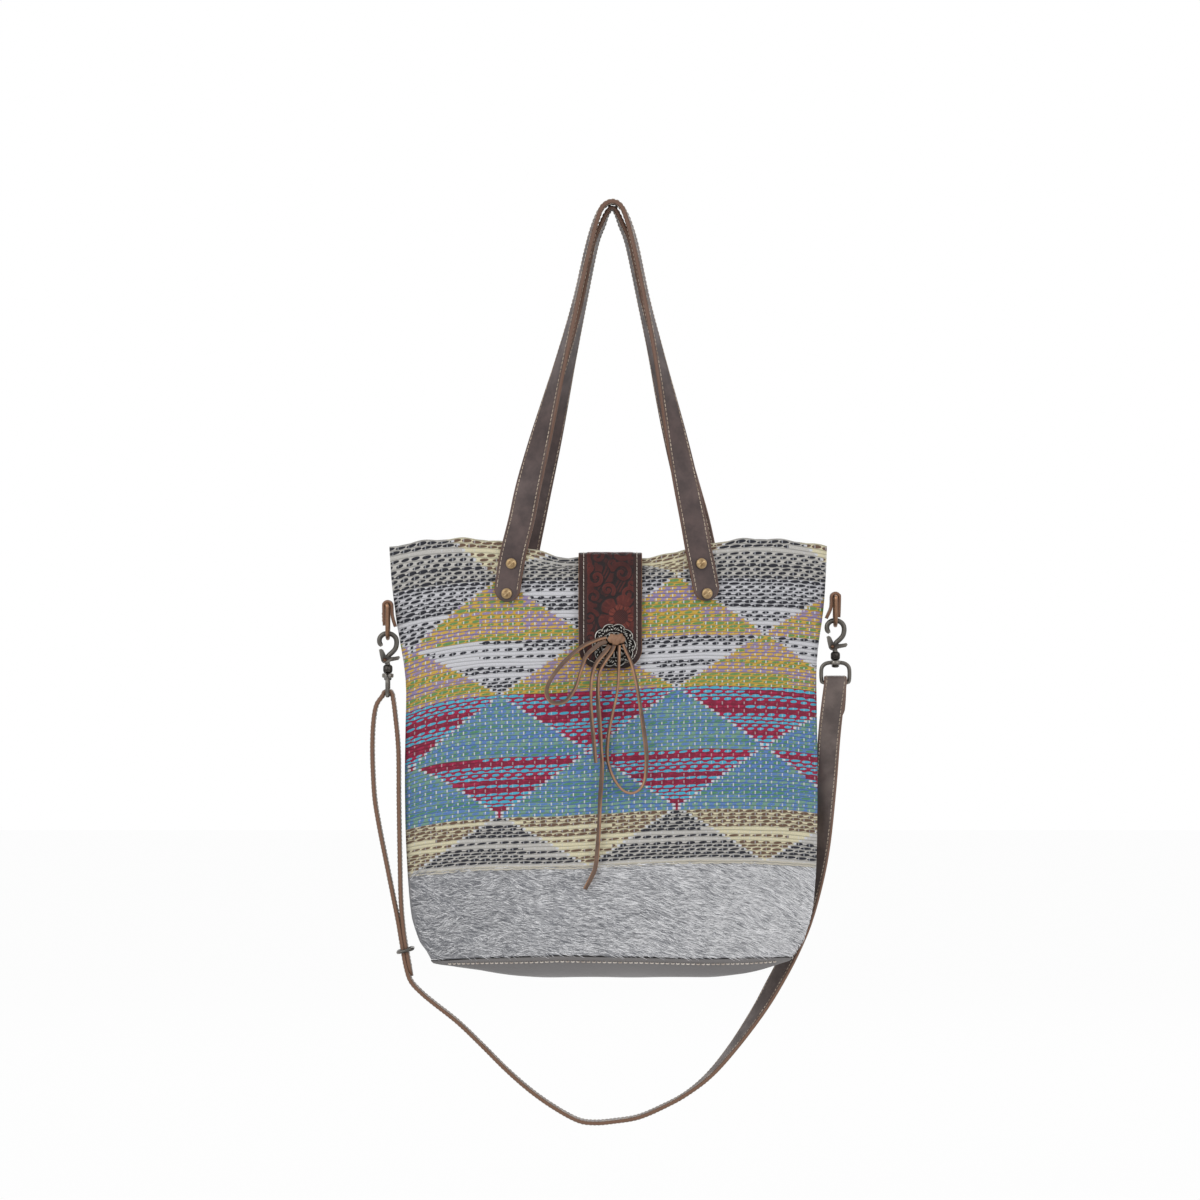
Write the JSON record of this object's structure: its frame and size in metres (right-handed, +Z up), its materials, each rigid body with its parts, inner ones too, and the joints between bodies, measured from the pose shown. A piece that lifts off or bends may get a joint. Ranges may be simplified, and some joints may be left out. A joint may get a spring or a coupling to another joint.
{
  "type": "woven tote bag",
  "caption": "Woven cotton tote bag with a hair-on hide base, two leather handles, a tied flap and a clip-on shoulder strap.",
  "frame": {"origin": "where the bag hangs: under the apex of its inner handle, in the middle of the hook's contact", "axes": "+X to the bag's right as seen from the front, +Y to the back, +Z up; the front faces -Y"},
  "size_m": [0.4036, 0.1173, 0.7761],
  "materials": {
    "strap_leather": "waxed two-ply strap leather",
    "hide": "hair-on hide",
    "brass": "antique brass",
    "woven_cotton": "hand-woven cotton, ridged",
    "suede": "napped hide",
    "flap_leather": "tooled, antiqued",
    "aged_silver": "antiqued silver",
    "lace_leather": "cut lace",
    "aged_copper": "antique copper plate",
    "gunmetal": "dark plated",
    "lining": "plain cotton"
  },
  "bodies": {
    "bag": {"back_handle": "strap_leather", "back_hide_band": "hide", "back_left_lower_rivet": "brass", "back_left_upper_rivet": "brass", "back_panel": "woven_cotton", "back_right_lower_rivet": "brass", "back_right_upper_rivet": "brass", "base_panel": "suede", "front_handle": "strap_leather", "front_hide_band": "hide", "front_left_lower_rivet": "brass", "front_left_upper_rivet": "brass", "front_panel": "woven_cotton", "front_right_lower_rivet": "brass", "front_right_upper_rivet": "brass", "left_side_tab": "strap_leather", "lining": "lining", "right_side_tab": "strap_leather"},
    "flap": {"closure_flap": "flap_leather", "concho": "aged_silver", "lace_knot": "lace_leather", "lace_left_loop": "lace_leather", "lace_long_tail": "lace_leather", "lace_right_loop": "lace_leather", "lace_short_tail": "lace_leather"},
    "left_ring": {"left_ring": "aged_copper"},
    "right_ring": {"right_ring": "aged_copper"},
    "strap": {"shoulder_strap": "strap_leather", "strap_slide": "gunmetal", "left_swivel_eye": "gunmetal", "right_swivel_eye": "gunmetal"},
    "left_hook": {"left_snap_hook": "gunmetal", "left_trigger_pin": "aged_copper"},
    "left_trigger": {"left_trigger": "gunmetal"},
    "right_hook": {"right_snap_hook": "gunmetal", "right_trigger_pin": "aged_copper"},
    "right_trigger": {"right_trigger": "gunmetal"}
  },
  "joints": [
    {"name": "flap_hinge", "type": "hinge", "parent": "bag", "child": "flap", "pos_m": [-0.0015, 0.03117, -0.2915], "axis": [-1, 0, 0], "range_deg": [0, 60]},
    {"name": "left_ring_hinge", "type": "hinge", "parent": "bag", "child": "left_ring", "pos_m": [-0.1883, 0, -0.333], "axis": [0, 1, 0], "range_deg": [-1.5, 1.5]},
    {"name": "right_ring_hinge", "type": "hinge", "parent": "bag", "child": "right_ring", "pos_m": [0.1876, 0, -0.326], "axis": [0, 1, 0], "range_deg": [-1.5, 1.5]},
    {"name": "strap_swing", "type": "hinge", "parent": "bag", "child": "strap", "pos_m": [-0.1883, 0, -0.35885], "axis": [0.9996, 0, 0.029], "range_deg": [0, 15]},
    {"name": "left_swivel", "type": "hinge", "parent": "strap", "child": "left_hook", "pos_m": [-0.1883, 0, -0.3905], "axis": [0, 0, 1], "range_deg": [-12, 12]},
    {"name": "left_trigger_hinge", "type": "hinge", "parent": "left_hook", "child": "left_trigger", "pos_m": [-0.1907, 0, -0.3787], "axis": [0, 1, 0], "range_deg": [0, 20], "stiffness_Nm_per_rad": 0.05},
    {"name": "right_swivel", "type": "hinge", "parent": "strap", "child": "right_hook", "pos_m": [0.1876, 0, -0.3796], "axis": [0, 0, 1], "range_deg": [-12, 12]},
    {"name": "right_trigger_hinge", "type": "hinge", "parent": "right_hook", "child": "right_trigger", "pos_m": [0.1852, 0, -0.3678], "axis": [0, 1, 0], "range_deg": [0, 20], "stiffness_Nm_per_rad": 0.05}
  ]
}
